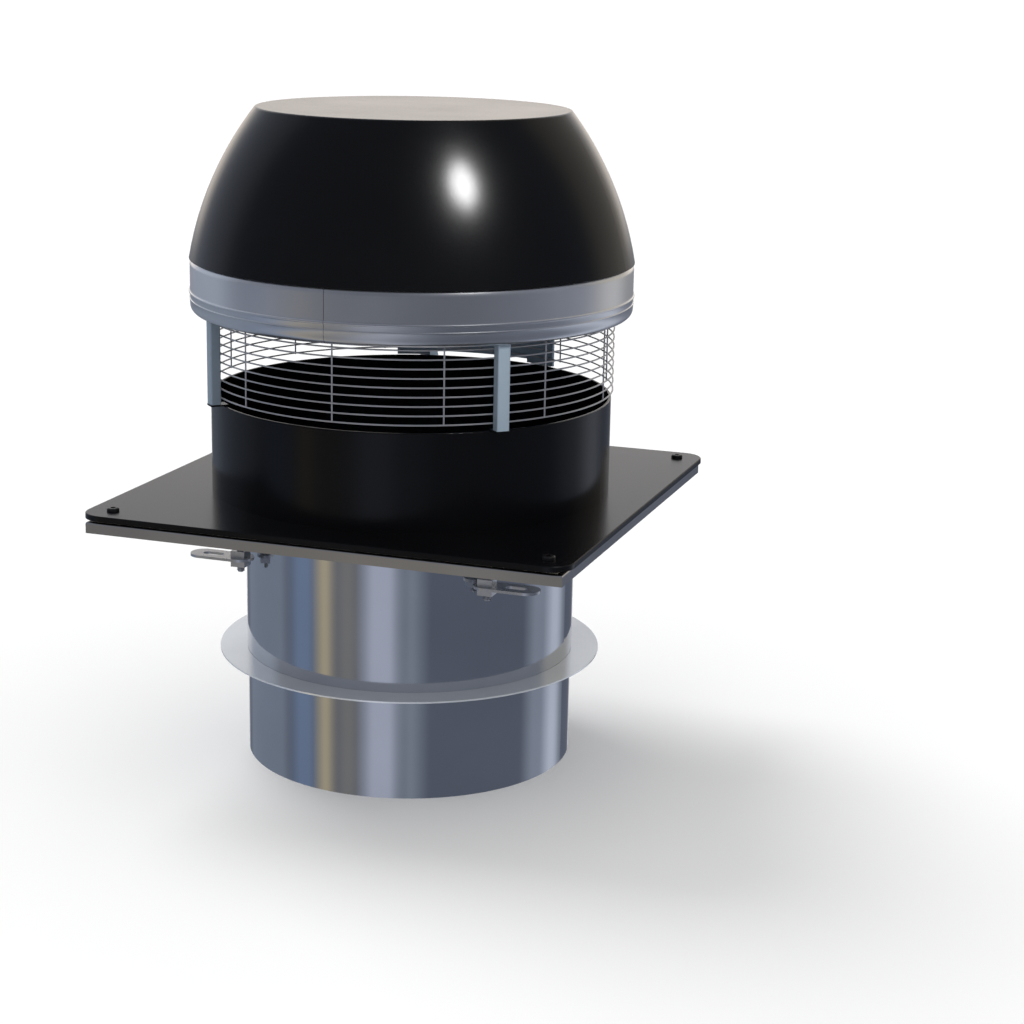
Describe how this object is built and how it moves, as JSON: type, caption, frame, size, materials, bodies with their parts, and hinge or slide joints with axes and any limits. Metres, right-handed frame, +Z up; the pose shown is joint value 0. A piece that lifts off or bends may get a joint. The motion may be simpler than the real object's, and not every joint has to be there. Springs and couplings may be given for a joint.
{
  "type": "chimney draught fan",
  "caption": "Rooftop flue fan with a flat-topped dome hood over a wire grille, on a square plate and a round spigot, tipping back on a rear hinge.",
  "frame": {"origin": "centre of the bounding box at its base, which is the centre of the spigot's lower edge", "axes": "+Z up along the flue, X and Y along the edges of the square plates, +Y towards the hinge"},
  "size_m": [0.367, 0.367, 0.4894],
  "materials": {
    "black_paint": "satin-gloss black paint",
    "satin_band": "satin anodised",
    "strut_steel": "satin zinc plated",
    "bright_wire": "bright drawn wire",
    "sheet_stainless": "bright cold-rolled",
    "polished_stainless": "mirror rolled",
    "zinc_hardware": "bright zinc plated",
    "seal_fibre": "pressed mineral fibre",
    "cast_aluminium": "as cast, shot-blasted",
    "pressed_steel": "galvanised",
    "core_steel": "varnished laminations",
    "bearing_steel": "ground",
    "dark_plastic": "fine-grained moulding"
  },
  "bodies": {
    "base": {"adapter_plate": "sheet_stainless", "plate_neck": "polished_stainless", "flue_spigot": "polished_stainless", "neck_rivets": "zinc_hardware", "collar_disc": "polished_stainless", "clamp_studs": "zinc_hardware", "clamp_arms": "zinc_hardware", "clamp_nuts": "zinc_hardware", "plate_seal": "seal_fibre", "base_plate": "black_paint", "base_bolts": "zinc_hardware", "base_nuts": "zinc_hardware", "housing_tube": "black_paint", "strut_lugs": "black_paint", "hinge_bracket": "black_paint", "hinge_pin": "zinc_hardware", "hinge_clip": "zinc_hardware"},
    "hood": {"hinge_plate": "strut_steel", "strut_left": "strut_steel", "strut_right": "strut_steel", "strut_screws": "zinc_hardware", "hinge_screws": "zinc_hardware", "wire_grille": "bright_wire", "ring_band": "satin_band", "hood_dome": "black_paint", "hood_rivets": "zinc_hardware", "motor_plate": "pressed_steel", "motor_spacers": "zinc_hardware", "motor_bolts": "zinc_hardware", "motor_nuts": "zinc_hardware", "motor_housing": "cast_aluminium", "motor_end_cover": "cast_aluminium", "cover_screws": "zinc_hardware", "stator_core": "core_steel", "lower_bearing": "bearing_steel", "upper_bearing": "bearing_steel", "shaft_seal": "dark_plastic", "terminal_box": "dark_plastic", "terminal_lid": "dark_plastic", "cable_gland": "dark_plastic"},
    "rotor": {"motor_shaft": "bearing_steel", "motor_rotor": "core_steel", "impeller": "cast_aluminium", "impeller_washer": "zinc_hardware", "impeller_bolt": "zinc_hardware"}
  },
  "joints": [
    {"name": "hood_tilt", "type": "hinge", "parent": "base", "child": "hood", "pos_m": [0, 0.164, 0.2695], "axis": [-1, 0, 0], "range_deg": [0, 80]},
    {"name": "rotor_spin", "type": "hinge", "parent": "hood", "child": "rotor", "pos_m": [0, 0, 0.36], "axis": [0, 0, 1], "continuous": true}
  ]
}
